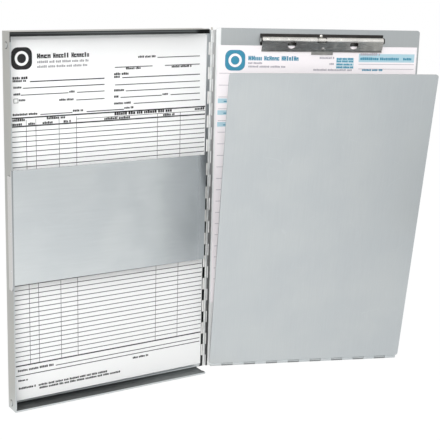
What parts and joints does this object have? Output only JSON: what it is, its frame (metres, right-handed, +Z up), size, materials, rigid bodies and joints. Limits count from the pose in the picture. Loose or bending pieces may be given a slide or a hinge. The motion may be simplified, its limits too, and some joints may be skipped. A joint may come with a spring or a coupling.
{
  "type": "storage clipboard box",
  "caption": "Upright sheet-metal form holder: shallow storage tray with a retaining strap, hinged clipboard plate with a sprung low clip, and a foot-hinged writing cover over clipped forms.",
  "frame": {"origin": "middle of the underside of the tray's bottom wall, on which the object stands", "axes": "+Z up along the side hinge, the tray's open front faces -Y, the clipboard lies to +X and is turned towards -Y"},
  "size_m": [0.4419, 0.1438, 0.3714],
  "materials": {
    "satin_aluminium": "satin mill-finish sheet",
    "bright_steel": "bright nickel",
    "dark_steel": "black oxide",
    "white_paper": "white printed paper",
    "tinted_paper": "pale pink printed paper"
  },
  "bodies": {
    "tray": {"tray_pan": "satin_aluminium", "tray_corner_rivets": "bright_steel", "retaining_band": "satin_aluminium", "band_rivets": "satin_aluminium", "tray_side_leaf": "satin_aluminium", "tray_leaf_rivets": "bright_steel", "side_hinge_pin": "bright_steel", "storage_forms": "white_paper"},
    "clipboard": {"clipboard_plate": "satin_aluminium", "plate_side_leaf": "satin_aluminium", "plate_side_rivets": "bright_steel", "plate_foot_leaf": "satin_aluminium", "plate_foot_rivets": "bright_steel", "foot_hinge_pin": "bright_steel", "clip_base": "dark_steel", "clip_base_rivets": "bright_steel", "clip_stud": "bright_steel", "clip_rod": "bright_steel", "clip_spring": "bright_steel", "clipped_forms": "tinted_paper"},
    "cover": {"writing_cover": "satin_aluminium", "cover_foot_leaf": "satin_aluminium", "cover_foot_rivets": "bright_steel"},
    "jaw": {"clip_jaw": "bright_steel", "jaw_rivet": "bright_steel"}
  },
  "joints": [
    {"name": "side_hinge", "type": "hinge", "parent": "tray", "child": "clipboard", "pos_m": [0.11985, 0.0113, 0.1847], "axis": [0, 0, 1], "range_deg": [-14, 201]},
    {"name": "cover_hinge", "type": "hinge", "parent": "clipboard", "child": "cover", "pos_m": [0.22622, -0.03306, 0.0025], "axis": [0.9336, -0.3584, 0], "range_deg": [-10.4, 79.6]},
    {"name": "clip_pivot", "type": "hinge", "parent": "clipboard", "child": "jaw", "pos_m": [0.22781, -0.037, 0.3597], "axis": [-0.9336, 0.3584, 0], "range_deg": [0, 30], "stiffness_Nm_per_rad": 0.12, "springref_deg": -51.57}
  ]
}
